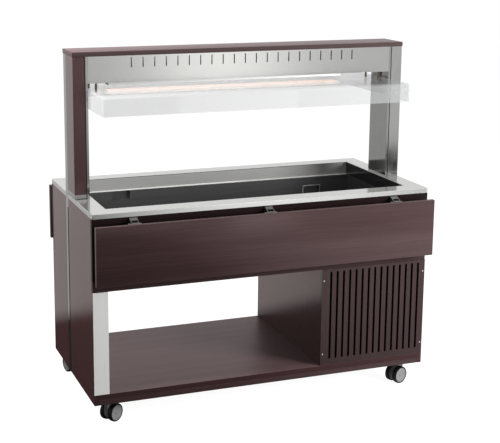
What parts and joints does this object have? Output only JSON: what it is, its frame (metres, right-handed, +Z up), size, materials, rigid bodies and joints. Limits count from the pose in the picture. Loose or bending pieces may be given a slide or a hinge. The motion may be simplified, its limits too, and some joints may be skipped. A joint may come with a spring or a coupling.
{
  "type": "buffet trolley",
  "caption": "Rolling buffet trolley with a cold well, lit canopy with clear guard, folding side flaps, storage niche and slotted compressor compartment on swivel casters.",
  "frame": {"origin": "on the floor under the middle of the trolley", "axes": "+Z up, -Y towards the front flap, +X towards the end with the cooling set"},
  "size_m": [1.474, 0.82, 1.476],
  "materials": {
    "wenge_board": "satin",
    "stainless": "satin",
    "polished_steel": "polished",
    "core_board": "matte",
    "well_steel": "satin",
    "foam": "matte",
    "drain_steel": "satin",
    "screw_steel": "polished",
    "compressor_paint": "satin",
    "condenser_aluminium": "satin",
    "shroud_steel": "satin",
    "motor_paint": "satin",
    "copper": "satin",
    "panel_plastic": "satin",
    "display_plastic": "gloss",
    "lamp_diffuser": "satin",
    "clear_acrylic": "gloss",
    "hinge_steel": "satin",
    "fan_plastic": "satin",
    "switch_plastic": "satin",
    "caster_grey": "satin",
    "caster_tyre": "matte"
  },
  "bodies": {
    "trolley": {"base_lower_board": "wenge_board", "base_deck": "wenge_board", "left_front_end_board": "wenge_board", "left_rear_end_board": "wenge_board", "right_front_end_board": "wenge_board", "right_rear_end_board": "wenge_board", "left_column": "polished_steel", "right_column": "polished_steel", "left_wall_liner": "stainless", "front_apron": "wenge_board", "rear_apron": "wenge_board", "niche_ceiling": "wenge_board", "worktop_core": "core_board", "top_frame": "stainless", "well_tub": "well_steel", "well_insulation": "foam", "drain_pipe": "drain_steel", "compartment_wall": "wenge_board", "front_grille": "wenge_board", "rear_grille": "wenge_board", "grille_screws": "screw_steel", "compressor": "compressor_paint", "condenser": "condenser_aluminium", "fan_shroud": "shroud_steel", "fan_motor": "motor_paint", "refrigerant_pipes": "copper", "control_panel": "panel_plastic", "thermostat_display": "display_plastic", "left_post_cladding": "wenge_board", "right_post_cladding": "wenge_board", "left_post_liner": "polished_steel", "right_post_liner": "polished_steel", "post_collars": "polished_steel", "top_board": "wenge_board", "lamp_housing": "stainless", "lamp_panel": "lamp_diffuser", "guard": "clear_acrylic", "guard_standoffs": "screw_steel", "flap_brackets": "hinge_steel", "flap_pivot_pins": "hinge_steel", "caster_plates": "hinge_steel"},
    "front_flap": {"front_flap": "wenge_board", "front_flap_arms": "hinge_steel"},
    "rear_flap": {"rear_flap": "wenge_board", "rear_flap_arms": "hinge_steel"},
    "condenser_fan": {"fan_blades": "fan_plastic"},
    "cooling_switch": {"cooling_switch": "switch_plastic"},
    "light_switch": {"light_switch": "switch_plastic"},
    "front_left_swivel": {"front_left_caster_body": "caster_grey"},
    "front_left_wheels": {"front_left_caster_hubs": "caster_grey", "front_left_caster_tyres": "caster_tyre"},
    "front_right_swivel": {"front_right_caster_body": "caster_grey"},
    "front_right_wheels": {"front_right_caster_hubs": "caster_grey", "front_right_caster_tyres": "caster_tyre"},
    "rear_left_swivel": {"rear_left_caster_body": "caster_grey"},
    "rear_left_wheels": {"rear_left_caster_hubs": "caster_grey", "rear_left_caster_tyres": "caster_tyre"},
    "rear_right_swivel": {"rear_right_caster_body": "caster_grey"},
    "rear_right_wheels": {"rear_right_caster_hubs": "caster_grey", "rear_right_caster_tyres": "caster_tyre"}
  },
  "joints": [
    {"name": "front_flap_fold", "type": "hinge", "parent": "trolley", "child": "front_flap", "pos_m": [0, -0.378, 0.836], "axis": [-1, 0, 0], "range_deg": [0, 90]},
    {"name": "rear_flap_fold", "type": "hinge", "parent": "trolley", "child": "rear_flap", "pos_m": [0, 0.378, 0.836], "axis": [1, 0, 0], "range_deg": [0, 90]},
    {"name": "fan_spin", "type": "hinge", "parent": "trolley", "child": "condenser_fan", "pos_m": [0.4915, -0.251, 0.277], "axis": [0, 1, 0], "continuous": true},
    {"name": "cooling_switch_rock", "type": "hinge", "parent": "trolley", "child": "cooling_switch", "pos_m": [0.73, 0.149, 0.48], "axis": [0, -1, 0], "range_deg": [0, 16]},
    {"name": "light_switch_rock", "type": "hinge", "parent": "trolley", "child": "light_switch", "pos_m": [0.73, 0.175, 0.48], "axis": [0, -1, 0], "range_deg": [0, 16]},
    {"name": "front_left_swivel_turn", "type": "hinge", "parent": "trolley", "child": "front_left_swivel", "pos_m": [-0.664, -0.288, 0.09], "axis": [0, 0, 1], "continuous": true},
    {"name": "front_left_wheel_roll", "type": "hinge", "parent": "front_left_swivel", "child": "front_left_wheels", "pos_m": [-0.64723, -0.27711, 0.0375], "axis": [-0.5446, 0.8387, 0], "continuous": true},
    {"name": "front_right_swivel_turn", "type": "hinge", "parent": "trolley", "child": "front_right_swivel", "pos_m": [0.664, -0.288, 0.09], "axis": [0, 0, 1], "continuous": true},
    {"name": "front_right_wheel_roll", "type": "hinge", "parent": "front_right_swivel", "child": "front_right_wheels", "pos_m": [0.64509, -0.29451, 0.0375], "axis": [0.3256, -0.9455, 0], "continuous": true},
    {"name": "rear_left_swivel_turn", "type": "hinge", "parent": "trolley", "child": "rear_left_swivel", "pos_m": [-0.664, 0.288, 0.09], "axis": [0, 0, 1], "continuous": true},
    {"name": "rear_left_wheel_roll", "type": "hinge", "parent": "rear_left_swivel", "child": "rear_left_wheels", "pos_m": [-0.66918, 0.30732, 0.0375], "axis": [-0.9659, -0.2588, 0], "continuous": true},
    {"name": "rear_right_swivel_turn", "type": "hinge", "parent": "trolley", "child": "rear_right_swivel", "pos_m": [0.664, 0.288, 0.09], "axis": [0, 0, 1], "continuous": true},
    {"name": "rear_right_wheel_roll", "type": "hinge", "parent": "rear_right_swivel", "child": "rear_right_wheels", "pos_m": [0.64587, 0.27955, 0.0375], "axis": [0.4226, -0.9063, 0], "continuous": true}
  ]
}
